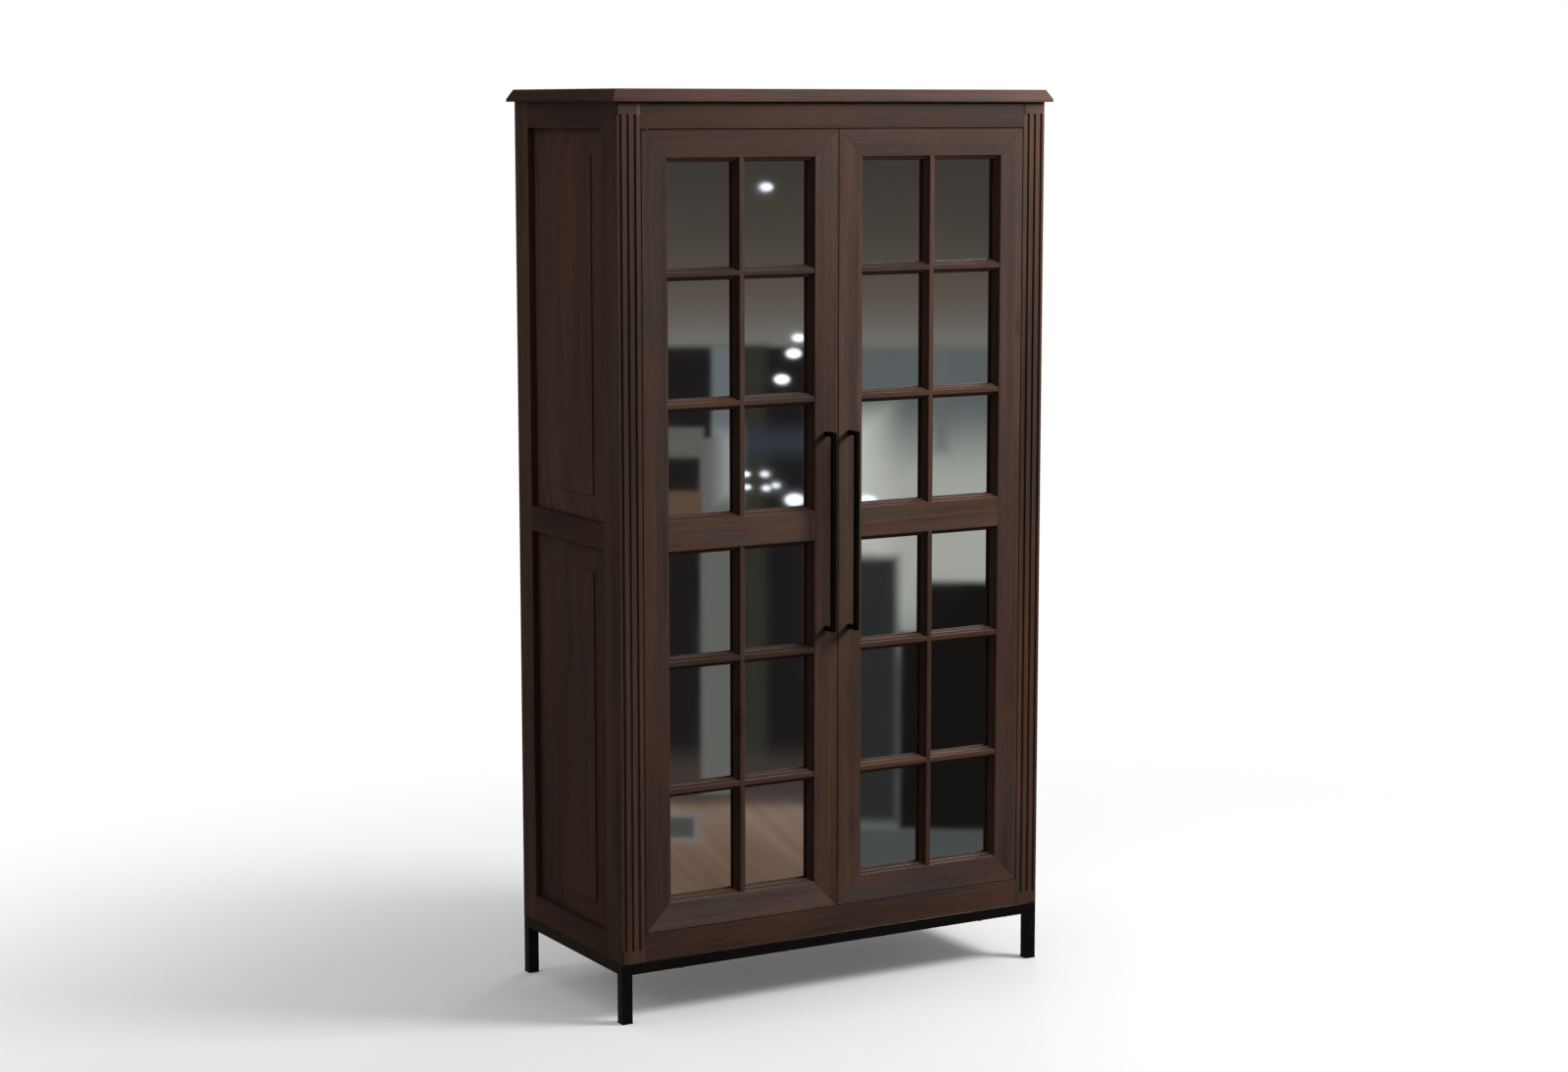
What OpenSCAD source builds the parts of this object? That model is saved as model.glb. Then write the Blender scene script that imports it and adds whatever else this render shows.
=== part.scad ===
// Two-door mirrored armoire on a square-tube steel base.
// Millimetres, +Z up, front faces -Y, origin under the centre of the bounding box.

/* [Overall] */
// Height from the floor to the top of the cornice
total_h = 2000; // [1900:10:2100]
// Width of the wooden carcass
carcass_w = 1077; // [980:1:1180]
// Depth of the wooden carcass
carcass_d = 493; // [450:1:560]
// Height of the steel base
base_h = 133; // [100:1:160]

/* [Cornice] */
// Height of the cornice
cornice_h = 27; // [20:1:35]
// Overhang of the cornice at its lower lip
cornice_overhang = 14; // [8:1:18]
// Overhang of the cornice at its top edge
cornice_top_overhang = 2; // [0:0.5:6]
// Height of the upright lip below the slope
cornice_lip_h = 6; // [3:0.5:10]
// Width of the mitred cornice boards
cornice_board_w = 74; // [60:1:90]

/* [Front frame] */
// Width of each fluted front post
post_w = 56.5; // [50:0.5:65]
// Height of the front top rail
front_top_h = 56.5; // [45:0.5:70]
// Height of the front bottom rail
front_bottom_h = 60; // [50:0.5:75]
// Thickness of the frame timber
frame_t = 24; // [20:0.5:28]
// Number of flutes on a post
flute_count = 3; // [1:1:3]
// Distance between flutes
flute_pitch = 16.7; // [12:0.1:17]
// Radius of a flute
flute_r = 3.3; // [2:0.1:4]
// Distance of the middle flute from the outer side
flute_in = 26.5; // [25:0.5:29]

/* [Side frames] */
// Width of the front stile seen from the side
side_front_w = 71; // [60:1:80]
// Width of the rear stile seen from the side
side_rear_w = 66; // [55:1:75]
// Height of the side mid rail
side_mid_h = 56; // [45:1:65]
// Width of the bevelled margin around a raised panel
panel_margin = 55; // [40:1:60]
// Depth of the panel margin below the frame at its outer edge
panel_deep = 15; // [12:0.5:16]
// Height of the small step around the raised field
panel_step = 3; // [1:0.5:5]
// Depth of the raised field below the frame
panel_field = 1.5; // [0.5:0.5:3]

/* [Doors] */
// Gap around the doors and between them
door_gap = 2; // [1.5:0.1:2.5]
// Thickness of a door
door_t = 28; // [26:0.5:32]
// Width of the door stiles and top rail
door_stile_w = 58; // [50:0.5:65]
// Height of the door bottom rail
door_bottom_h = 60.5; // [50:0.5:70]
// Height of the door mid rail
door_mid_h = 64.5; // [50:0.5:75]
// Height of the middle of the door mid rail above the floor
door_mid_z = 1055; // [1000:1:1110]
// Height of the middle row of panes, centre to centre of its bars
pane_mid_pitch = 278; // [240:1:300]
// Width of a glazing bar's face
bar_face_w = 8; // [6:0.5:12]
// Width of the moulding on each side of a bar
moulding_w = 9.5; // [7:0.5:12]
// Depth of the mirror behind the door's face
mirror_deep = 20; // [18:0.5:21]
// Thickness of a mirror
mirror_t = 4; // [3:0.5:4]

/* [Handles] */
// Length of a handle
handle_l = 440; // [300:5:500]
// Side of the handle's square bar
handle_bar = 10; // [8:0.5:12]
// Projection of a handle from the door
handle_out = 35; // [28:1:45]
// Distance of the handle's middle from the middle of the armoire
handle_x = 29.4; // [26:0.1:32]
// Height of the handle's middle above the floor
handle_z = 1041; // [1000:1:1080]

/* [Steel base] */
// Side of the square steel tube
tube = 25; // [20:1:30]
// Wall of the steel tube
tube_wall = 2; // [1.5:0.5:3]
// Height of the plastic glide under each leg
glide_h = 3; // [2:0.5:5]

/* [Inside] */
// Height of the hat shelf's top above the floor
shelf_z = 1708; // [1650:1:1750]
// Diameter of the hanging rail
hanging_d = 25; // [20:1:28]
// Distance from the underside of the hat shelf to the middle of the hanging rail
hanging_drop = 50; // [45:1:65]

/* [Hidden] */
$fn = 48;

// How far a cut runs past the solid that it cuts
past = 1;

// Main planes
half_w = carcass_w / 2;
centre_y = (handle_out - cornice_overhang) / 2;
front_y = centre_y - carcass_d / 2;
back_y = centre_y + carcass_d / 2;
carcass_bottom = base_h;
carcass_top = total_h - cornice_h;
inner_x = half_w - frame_t;
post_x = half_w - post_w;
sill_z = carcass_bottom + front_bottom_h;
head_z = carcass_top - front_top_h;

// Flutes
flute_end = 25.5;

// Side panels
side_top_h = front_top_h;
side_bottom_h = 58;
side_mid_z = 1054.5;
tongue_t = 6;
tongue_l = 9;
groove_play = 0.1;
panel_front_y = front_y + side_front_w;
panel_rear_y = back_y - side_rear_w;
upper_panel_z = [side_mid_z + side_mid_h / 2, carcass_top - side_top_h];
lower_panel_z = [carcass_bottom + side_bottom_h, side_mid_z - side_mid_h / 2];

// Back
back_rail_t = 20;
back_rail_h = 60;
back_sheet_t = 6;
back_sheet_in = 12;
back_sheet_y = back_y - back_sheet_in;
back_groove = 8;
back_mid_z = side_mid_z;

// Doors
door_in_x = door_gap / 2;
door_out_x = post_x - door_gap;
door_low_z = sill_z + door_gap;
door_high_z = head_z - door_gap;
open_in_x = door_in_x + door_stile_w;
open_out_x = door_out_x - door_stile_w;
open_mid_x = (open_in_x + open_out_x) / 2;
lower_open_z = [door_low_z + door_bottom_h, door_mid_z - door_mid_h / 2];
upper_open_z = [door_mid_z + door_mid_h / 2, door_high_z - door_stile_w];
rebate = 9;
sheet_play = 1;
backing_t = 3.5;
bar_face_deep = 1;
// Moulding outline as [distance from the flat face, depth], from face to mirror
moulding = [[0, bar_face_deep], [0.32 * moulding_w, 6.5], [0.63 * moulding_w, 7],
            [moulding_w, 13], [moulding_w, mirror_deep]];

// Pivots
pivot_in = 16;
pivot_back = 7;
pivot_x = door_out_x - pivot_in;
pivot_y = front_y + pivot_back;
pin_r = 3;
pin_l = 15;
pin_play = 0.05;
bush_r = 4.5;
bush_l = 18;
bush_end_t = 2;
plate_t = 2;
plate_x = [pivot_x - 22, pivot_x + 17];
plate_y = [front_y + 4, front_y + 20];
collar_r = 5;
collar_play = 0.1;

// Door stop, catches and strike plates
stop_play = 0.4;
stop_t = 16;
stop_y = [front_y + door_t + stop_play, front_y + door_t + stop_play + stop_t];
stop_drop = 18;
stop_rise = 24;
stop_low_z = head_z - stop_drop;
// The lip ends short of the pivots, where the doors' back corners swing through
lip_x = pivot_x - 20;
catch_x = 62;
catch_l = 44;
catch_h = 14;
strike_l = 36;
strike_h = 12;
strike_t = 1;

// Handle screws
screw_r = 2;
screw_head_r = 4;
screw_head_h = 2.5;
screw_in = 12;
leg_z = handle_l / 2 - handle_bar / 2;

// Inside
shelf_t = 18;
shelf_play = 0.5;
shelf_set_back = 50;
shelf_y = [front_y + shelf_set_back, back_y - back_rail_t - shelf_play];
cleat_t = 20;
cleat_h = 85;
cleat_x = inner_x - cleat_t;
hanging_z = shelf_z - shelf_t - hanging_drop;
hanging_back = 8;
hanging_y = centre_y + hanging_back;
hanging_wall = 1.5;
hanging_end_play = 1;
socket_flange_r = 22;
socket_flange_t = 4;
socket_r = 15;
socket_l = 14;
socket_play = 0.1;
board_t = 18;
top_panel_t = 21;

// Base
glide_plug_h = 12;
base_screw_r = 3;
base_screw_head_r = 6;
base_screw_head_h = 3;
base_screw_l = 32;
base_screw_x = [-390, -130, 130, 390];
base_screw_y = [front_y + tube / 2, back_y - tube / 2];

// Colours
wood = [0.30, 0.20, 0.155];
panel_wood = [0.27, 0.18, 0.14];
inside_wood = [0.36, 0.26, 0.19];
black = [0.03, 0.03, 0.035];
silver = [0.72, 0.74, 0.76];
mirror_grey = [0.60, 0.64, 0.67];
board_brown = [0.32, 0.24, 0.17];
nylon = [0.12, 0.12, 0.12];

// ---- Helpers ----
module on_left() { mirror([1, 0, 0]) children(); }
module both_sides() { children(); on_left() children(); }

// Box from its lowest to its highest corner
module box(low, high) { translate(low) cube(high - low); }

// Stands a drawing of X and Z upright, from depth y0 to y1
module upright(y0, y1) {
    translate([0, y1, 0]) rotate([90, 0, 0]) linear_extrude(y1 - y0) children();
}

// Turns a drawing of Y and X so that it runs upwards from z0 to z1
module run_up(z0, z1) {
    translate([0, 0, z0]) linear_extrude(z1 - z0) mirror([1, 0, 0]) rotate(90) children();
}

// ---- Front frame ----
module flute(x) {
    low = carcass_bottom + flute_end + flute_r;
    high = carcass_top - flute_end - flute_r;
    translate([x, front_y, low]) {
        cylinder(r = flute_r, h = high - low);
        sphere(r = flute_r);
        translate([0, 0, high - low]) sphere(r = flute_r);
    }
}

module front_post() {
    first = half_w - flute_in - flute_pitch * (flute_count - 1) / 2;
    color(wood) difference() {
        translate([0, 0, carcass_bottom]) linear_extrude(carcass_top - carcass_bottom)
            polygon([[half_w, front_y], [post_x, front_y], [post_x, front_y + frame_t],
                     [inner_x, front_y + frame_t]]);
        for (i = [0 : flute_count - 1]) flute(first + i * flute_pitch);
    }
}

module front_top_rail() {
    color(wood) difference() {
        box([-post_x, front_y, head_z], [post_x, front_y + frame_t, carcass_top]);
        both_sides() top_plate();
    }
}

module front_bottom_rail() {
    color(wood) difference() {
        box([-post_x, front_y, carcass_bottom], [post_x, front_y + frame_t, sill_z]);
        both_sides() bottom_plate();
        base_screw_shanks();
    }
}

// ---- Side frames, drawn on the right ----
module panel_outline(span) {
    polygon([[-tongue_l, panel_deep + tongue_t], [-tongue_l, panel_deep], [0, panel_deep],
             [panel_margin, panel_field + panel_step], [panel_margin, panel_field],
             [span - panel_margin, panel_field], [span - panel_margin, panel_field + panel_step],
             [span, panel_deep], [span + tongue_l, panel_deep],
             [span + tongue_l, panel_deep + tongue_t]]);
}

module side_panel(z) {
    depth = panel_rear_y - panel_front_y;
    height = z[1] - z[0];
    color(panel_wood) intersection() {
        translate([half_w, panel_front_y, z[0] - tongue_l])
            linear_extrude(height + 2 * tongue_l)
                mirror([1, 0, 0]) rotate(90) mirror([0, 1, 0]) panel_outline(depth);
        translate([half_w, panel_rear_y + tongue_l, z[0]])
            rotate([90, 0, 0]) linear_extrude(depth + 2 * tongue_l)
                mirror([1, 0, 0]) rotate(90) mirror([0, 1, 0]) panel_outline(height);
    }
}

module panel_groove(z) {
    reach = tongue_l + past;
    box([half_w - panel_deep - tongue_t - groove_play, panel_front_y - reach, z[0] - reach],
        [half_w - panel_deep + groove_play, panel_rear_y + reach, z[1] + reach]);
}

module panel_grooves() {
    panel_groove(upper_panel_z);
    panel_groove(lower_panel_z);
}

module side_front_stile() {
    color(wood) difference() {
        translate([0, 0, carcass_bottom]) linear_extrude(carcass_top - carcass_bottom)
            polygon([[half_w, front_y], [half_w, panel_front_y], [inner_x, panel_front_y],
                     [inner_x, front_y + frame_t]]);
        panel_grooves();
    }
}

module side_rear_stile() {
    color(wood) difference() {
        box([inner_x, panel_rear_y, carcass_bottom], [half_w, back_y, carcass_top]);
        panel_grooves();
    }
}

module side_rail(z0, z1) { box([inner_x, panel_front_y, z0], [half_w, panel_rear_y, z1]); }

module side_rails() {
    color(wood) difference() {
        union() {
            side_rail(carcass_bottom, lower_panel_z[0]);
            side_rail(lower_panel_z[1], upper_panel_z[0]);
            side_rail(upper_panel_z[1], carcass_top);
        }
        panel_grooves();
    }
}

// ---- Back, bottom and top ----
module back_sheets(play) {
    low = carcass_bottom + back_rail_h - back_groove;
    mid = back_mid_z - back_rail_h / 2 + back_groove;
    box([-inner_x, back_sheet_y - play, low - play],
        [inner_x, back_sheet_y + back_sheet_t + play, mid + play]);
    high = carcass_top - back_rail_h + back_groove;
    box([-inner_x, back_sheet_y - play, mid + back_rail_h - 2 * back_groove - play],
        [inner_x, back_sheet_y + back_sheet_t + play, high + play]);
}

module back_panels() { color(board_brown) back_sheets(0); }

module back_rail(z0) {
    box([-inner_x, back_y - back_rail_t, z0], [inner_x, back_y, z0 + back_rail_h]);
}

module back_rails() {
    color(inside_wood) difference() {
        union() {
            back_rail(carcass_bottom);
            back_rail(back_mid_z - back_rail_h / 2);
            back_rail(carcass_top - back_rail_h);
        }
        back_sheets(groove_play);
        base_screw_shanks();
    }
}

module bottom_board() {
    color(inside_wood)
        box([-inner_x, front_y + frame_t, sill_z - board_t],
            [inner_x, back_y - back_rail_t, sill_z]);
}

module top_panel() {
    reach = cornice_board_w - cornice_overhang;
    color(inside_wood)
        box([-half_w + reach, front_y + reach, total_h - top_panel_t],
            [half_w - reach, back_y - reach, total_h]);
}

// ---- Cornice: four mitred boards ----
// Cross-section as [distance outwards from the carcass face, height above the carcass]
module cornice_section() {
    polygon([[cornice_overhang - cornice_board_w, 0], [cornice_overhang, 0],
             [cornice_overhang, cornice_lip_h], [cornice_top_overhang, cornice_h],
             [cornice_overhang - cornice_board_w, cornice_h]]);
}

// Board along the +Y face of a box that is w wide and d deep
module cornice_board(w, d) {
    x = w / 2 + cornice_overhang;
    y = d / 2 + cornice_overhang;
    color(wood) intersection() {
        translate([-x, d / 2, carcass_top])
            rotate([90, 0, 90]) linear_extrude(2 * x) cornice_section();
        translate([0, 0, carcass_top]) linear_extrude(cornice_h)
            polygon([[-x, y], [x, y], [x - cornice_board_w, y - cornice_board_w],
                     [cornice_board_w - x, y - cornice_board_w]]);
    }
}

module cornice_side(turn) {
    long = turn % 180 == 0;
    w = long ? carcass_w : carcass_d;
    d = long ? carcass_d : carcass_w;
    translate([0, centre_y, 0]) rotate([0, 0, turn]) cornice_board(w, d);
}

// ---- Inside fittings ----
module hat_shelf() {
    color(inside_wood)
        box([shelf_play - inner_x, shelf_y[0], shelf_z - shelf_t],
            [inner_x - shelf_play, shelf_y[1], shelf_z]);
}

module shelf_cleats() {
    color(inside_wood) both_sides()
        box([cleat_x, shelf_y[0], shelf_z - shelf_t - cleat_h],
            [inner_x, shelf_y[1], shelf_z - shelf_t]);
}

module hanging_rail() {
    length = 2 * (cleat_x - socket_flange_t - hanging_end_play);
    color(silver) translate([-length / 2, hanging_y, hanging_z]) rotate([0, 90, 0])
        difference() {
            cylinder(d = hanging_d, h = length);
            translate([0, 0, -past])
                cylinder(d = hanging_d - 2 * hanging_wall, h = length + 2 * past);
        }
}

module rail_sockets() {
    color(silver) both_sides() translate([cleat_x, hanging_y, hanging_z]) rotate([0, -90, 0])
        difference() {
            union() {
                cylinder(r = socket_flange_r, h = socket_flange_t);
                cylinder(r = socket_r, h = socket_l);
            }
            translate([0, 0, socket_flange_t])
                cylinder(r = hanging_d / 2 + socket_play, h = socket_l);
        }
}

// ---- Steel base ----
// Square tube along +Z
module tube_piece(length) {
    bore = tube - 2 * tube_wall;
    difference() {
        translate([-tube / 2, -tube / 2, 0]) cube([tube, tube, length]);
        translate([-bore / 2, -bore / 2, -past]) cube([bore, bore, length + 2 * past]);
    }
}

module at_legs() {
    for (x = [-1, 1], y = [front_y + tube / 2, back_y - tube / 2])
        translate([x * (half_w - tube / 2), y, 0]) children();
}

module base_legs() {
    color(black) at_legs() translate([0, 0, glide_h]) tube_piece(base_h - glide_h);
}

module leg_glides() {
    plug = tube - 2 * tube_wall;
    color(nylon) at_legs() {
        translate([-tube / 2, -tube / 2, 0]) cube([tube, tube, glide_h]);
        translate([-plug / 2, -plug / 2, glide_h]) cube([plug, plug, glide_plug_h]);
    }
}

module base_long_rails() {
    length = carcass_w - 2 * tube;
    color(black) difference() {
        for (y = base_screw_y)
            translate([-length / 2, y, base_h - tube / 2]) rotate([0, 90, 0]) tube_piece(length);
        base_screw_shanks();
    }
}

module base_side_rails() {
    length = carcass_d - 2 * tube;
    color(black) both_sides()
        translate([half_w - tube / 2, front_y + tube + length, base_h - tube / 2])
            rotate([90, 0, 0]) tube_piece(length);
}

module base_screw_shanks() {
    for (x = base_screw_x, y = base_screw_y)
        translate([x, y, base_h - tube]) cylinder(r = base_screw_r, h = tube + base_screw_l);
}

module base_screws() {
    color(silver) {
        base_screw_shanks();
        for (x = base_screw_x, y = base_screw_y)
            translate([x, y, base_h - tube - base_screw_head_h])
                cylinder(r = base_screw_head_r, h = base_screw_head_h);
    }
}

// ---- Door pivots, drawn on the right ----
module bottom_plate() {
    box([plate_x[0], plate_y[0], sill_z - plate_t], [plate_x[1], plate_y[1], sill_z]);
}

module top_plate() {
    box([plate_x[0], plate_y[0], head_z], [plate_x[1], plate_y[1], head_z + plate_t]);
}

module pivot_pins() {
    color(silver) both_sides() {
        bottom_plate();
        top_plate();
        translate([pivot_x, pivot_y, sill_z - plate_t / 2])
            cylinder(r = pin_r, h = pin_l + plate_t / 2);
        translate([pivot_x, pivot_y, head_z - pin_l])
            cylinder(r = pin_r, h = pin_l + plate_t / 2);
        translate([pivot_x, pivot_y, sill_z])
            cylinder(r = collar_r, h = door_gap - collar_play);
    }
}

module bush_body() {
    for (z = [door_low_z, door_high_z - bush_l])
        translate([pivot_x, pivot_y, z]) cylinder(r = bush_r, h = bush_l);
}

module pivot_bushes() {
    bore_l = bush_l - bush_end_t;
    color(nylon) difference() {
        bush_body();
        translate([pivot_x, pivot_y, door_low_z - past])
            cylinder(r = pin_r + pin_play, h = bore_l + past);
        translate([pivot_x, pivot_y, door_high_z - bore_l])
            cylinder(r = pin_r + pin_play, h = bore_l + past);
    }
}

// ---- Door stop, catches and strike plates ----
module door_stop() {
    color(inside_wood) {
        box([-post_x, front_y + frame_t, head_z], [post_x, stop_y[1], head_z + stop_rise]);
        box([-lip_x, stop_y[0], stop_low_z], [lip_x, stop_y[1], head_z]);
    }
}

module magnetic_catches() {
    color(nylon) both_sides()
        box([catch_x - catch_l / 2, stop_y[0], stop_low_z - catch_h],
            [catch_x + catch_l / 2, stop_y[1], stop_low_z]);
}

module strike_plate() {
    z = stop_low_z - catch_h / 2;
    color(silver)
        box([catch_x - strike_l / 2, front_y + door_t - strike_t, z - strike_h / 2],
            [catch_x + strike_l / 2, front_y + door_t, z + strike_h / 2]);
}

// ---- Doors, drawn on the right ----
module sheet_space(z, play) {
    box([open_in_x - rebate + play, front_y + mirror_deep, z[0] - rebate + play],
        [open_out_x + rebate - play, front_y + door_t + past, z[1] + rebate - play]);
}

// Cuts for the mirrors, bushes, strike plate and handle screws
module door_cuts() {
    sheet_space(upper_open_z, 0);
    sheet_space(lower_open_z, 0);
    bush_body();
    strike_plate();
    handle_screws();
}

module door_member(points) {
    color(wood) difference() {
        upright(front_y, front_y + door_t) polygon(points);
        door_cuts();
    }
}

module door_outer_stile() {
    door_member([[door_out_x, door_low_z], [open_out_x, lower_open_z[0]],
                 [open_out_x, upper_open_z[1]], [door_out_x, door_high_z]]);
}

module door_inner_stile() {
    door_member([[door_in_x, door_low_z], [open_in_x, lower_open_z[0]],
                 [open_in_x, upper_open_z[1]], [door_in_x, door_high_z]]);
}

module door_top_rail() {
    door_member([[door_in_x, door_high_z], [door_out_x, door_high_z],
                 [open_out_x, upper_open_z[1]], [open_in_x, upper_open_z[1]]]);
}

module door_bottom_rail() {
    door_member([[door_in_x, door_low_z], [door_out_x, door_low_z],
                 [open_out_x, lower_open_z[0]], [open_in_x, lower_open_z[0]]]);
}

module door_mid_rail() {
    door_member([[open_in_x, lower_open_z[1]], [open_out_x, lower_open_z[1]],
                 [open_out_x, upper_open_z[0]], [open_in_x, upper_open_z[0]]]);
}

// Half of a glazing bar, or an edge moulding when the face is 0 wide
function half_outline(face) = [for (p = moulding) [p[0] + face, p[1]]];
function turned(points) = [for (i = [len(points) - 1 : -1 : 0]) [-points[i][0], points[i][1]]];

module bar_outline() {
    polygon(concat(half_outline(bar_face_w / 2), turned(half_outline(bar_face_w / 2))));
}

module edge_outline() { polygon(concat(half_outline(0), [[0, mirror_deep]])); }

// Upright and level runs of a drawing of [across, depth]
module upright_run(x, z) {
    translate([x, front_y, z[0]]) linear_extrude(z[1] - z[0]) children();
}

module level_run(z) {
    translate([open_in_x, front_y, z]) rotate([0, 90, 0])
        linear_extrude(open_out_x - open_in_x) mirror([1, 0, 0]) children();
}

module grille(z) {
    middle = (z[0] + z[1]) / 2;
    color(wood) {
        upright_run(open_mid_x, z) bar_outline();
        for (s = [-1, 1]) level_run(middle + s * pane_mid_pitch / 2) bar_outline();
        upright_run(open_in_x, z) edge_outline();
        upright_run(open_out_x, z) mirror([1, 0, 0]) edge_outline();
        level_run(z[0]) edge_outline();
        level_run(z[1]) mirror([1, 0, 0]) edge_outline();
    }
}

module door_grille() {
    grille(lower_open_z);
    grille(upper_open_z);
}

module sheet(z, deep, t) {
    intersection() {
        sheet_space(z, sheet_play);
        box([open_in_x - rebate, front_y + deep, z[0] - rebate],
            [open_out_x + rebate, front_y + deep + t, z[1] + rebate]);
    }
}

module door_mirrors() {
    color(mirror_grey) {
        sheet(lower_open_z, mirror_deep, mirror_t);
        sheet(upper_open_z, mirror_deep, mirror_t);
    }
}

module door_backings() {
    color(board_brown) {
        sheet(lower_open_z, mirror_deep + mirror_t, backing_t);
        sheet(upper_open_z, mirror_deep + mirror_t, backing_t);
    }
}

// ---- Handles, drawn on the right ----
module door_handle() {
    half = handle_bar / 2;
    color(black) difference() {
        union() {
            box([handle_x - half, front_y - handle_out, handle_z - handle_l / 2],
                [handle_x + half, front_y - handle_out + handle_bar, handle_z + handle_l / 2]);
            for (s = [-1, 1])
                box([handle_x - half, front_y - handle_out + half, handle_z + s * leg_z - half],
                    [handle_x + half, front_y, handle_z + s * leg_z + half]);
        }
        handle_screws();
    }
}

module handle_screws() {
    color(silver) for (s = [-1, 1])
        translate([handle_x, front_y - screw_in, handle_z + s * leg_z]) rotate([-90, 0, 0]) {
            cylinder(r = screw_r, h = screw_in + door_t - screw_head_h / 2);
            translate([0, 0, screw_in + door_t - screw_head_h])
                cylinder(r = screw_head_r, h = screw_head_h);
        }
}

// ---- Carcass ----
on_left() front_post();  // left_front_post
front_post();  // right_front_post
front_top_rail();
front_bottom_rail();
on_left() side_front_stile();  // left_side_front_stile
side_front_stile();  // right_side_front_stile
on_left() side_rear_stile();  // left_side_rear_stile
side_rear_stile();  // right_side_rear_stile
on_left() side_rails();  // left_side_rails
side_rails();  // right_side_rails
on_left() side_panel(upper_panel_z);  // left_upper_panel
on_left() side_panel(lower_panel_z);  // left_lower_panel
side_panel(upper_panel_z);  // right_upper_panel
side_panel(lower_panel_z);  // right_lower_panel
back_rails();
back_panels();
bottom_board();
top_panel();
cornice_side(180);  // cornice_front
cornice_side(0);  // cornice_back
cornice_side(90);  // cornice_left
cornice_side(270);  // cornice_right
hat_shelf();
shelf_cleats();
hanging_rail();
rail_sockets();

// ---- Base ----
base_long_rails();
base_side_rails();
base_legs();
leg_glides();
base_screws();

// ---- Fittings on the carcass ----
pivot_pins();
door_stop();
magnetic_catches();

// ---- Left door ----
on_left() door_outer_stile();  // left_door_outer_stile
on_left() door_inner_stile();  // left_door_inner_stile
on_left() door_top_rail();  // left_door_top_rail
on_left() door_mid_rail();  // left_door_mid_rail
on_left() door_bottom_rail();  // left_door_bottom_rail
on_left() door_grille();  // left_door_grille
on_left() door_mirrors();  // left_door_mirrors
on_left() door_backings();  // left_door_backings
on_left() door_handle();  // left_handle
on_left() handle_screws();  // left_handle_screws
on_left() pivot_bushes();  // left_pivot_bushes
on_left() strike_plate();  // left_strike_plate

// ---- Right door ----
door_outer_stile();  // right_door_outer_stile
door_inner_stile();  // right_door_inner_stile
door_top_rail();  // right_door_top_rail
door_mid_rail();  // right_door_mid_rail
door_bottom_rail();  // right_door_bottom_rail
door_grille();  // right_door_grille
door_mirrors();  // right_door_mirrors
door_backings();  // right_door_backings
door_handle();  // right_handle
handle_screws();  // right_handle_screws
pivot_bushes();  // right_pivot_bushes
strike_plate();  // right_strike_plate
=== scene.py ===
import math
import random

import bmesh
import bpy
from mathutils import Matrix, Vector


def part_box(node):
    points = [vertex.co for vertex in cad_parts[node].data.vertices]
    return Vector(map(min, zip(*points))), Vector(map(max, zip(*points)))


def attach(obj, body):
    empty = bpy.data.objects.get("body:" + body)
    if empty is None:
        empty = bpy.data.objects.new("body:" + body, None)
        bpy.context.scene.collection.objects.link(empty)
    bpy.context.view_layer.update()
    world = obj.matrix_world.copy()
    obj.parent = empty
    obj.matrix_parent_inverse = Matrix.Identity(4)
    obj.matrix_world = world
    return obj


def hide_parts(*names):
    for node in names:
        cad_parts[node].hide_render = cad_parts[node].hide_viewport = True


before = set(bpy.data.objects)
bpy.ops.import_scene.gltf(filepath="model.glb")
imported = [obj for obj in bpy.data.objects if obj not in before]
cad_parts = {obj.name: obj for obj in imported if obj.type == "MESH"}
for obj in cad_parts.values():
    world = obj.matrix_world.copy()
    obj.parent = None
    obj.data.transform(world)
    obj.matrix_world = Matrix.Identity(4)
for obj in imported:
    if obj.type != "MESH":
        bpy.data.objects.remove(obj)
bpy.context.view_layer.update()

MM = 0.001
SIDES = ("left", "right")
scene = bpy.context.scene
scene.view_settings.view_transform = "Standard"


# ---------------------------------------------------------------- shader helpers
def new_material(name):
    """An empty node material with its Principled shader."""
    material = bpy.data.materials.new(name)
    material.use_nodes = True
    tree = material.node_tree
    shader = tree.nodes["Principled BSDF"]
    return material, tree, shader


def node(tree, kind, **settings):
    """A shader node; settings that name an input set its value, the others are attributes."""
    made = tree.nodes.new(kind)
    for key, value in settings.items():
        if hasattr(made, key):
            setattr(made, key, value)
        else:
            made.inputs[key.replace("_", " ")].default_value = value
    return made


def link(tree, out, into):
    tree.links.new(out, into)


def math_node(tree, operation, first, second=0.0, third=0.5):
    """A Math node; first, second and third are sockets or numbers."""
    made = tree.nodes.new("ShaderNodeMath")
    made.operation = operation
    for socket, value in zip(made.inputs, (first, second, third)):
        if isinstance(value, (int, float)):
            socket.default_value = value
        else:
            link(tree, value, socket)
    return made.outputs[0]


def mix_colours(tree, factor, first, second, blend="MIX"):
    """A colour mix; factor, first and second are sockets or values."""
    made = tree.nodes.new("ShaderNodeMix")
    made.data_type = "RGBA"
    made.blend_type = blend
    made.clamp_factor = True
    for socket, value in ((made.inputs[0], factor), (made.inputs[6], first), (made.inputs[7], second)):
        if isinstance(value, (int, float)):
            socket.default_value = value
        elif isinstance(value, tuple):
            socket.default_value = (*value, 1.0)
        else:
            link(tree, value, socket)
    return made.outputs[2]


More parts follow.
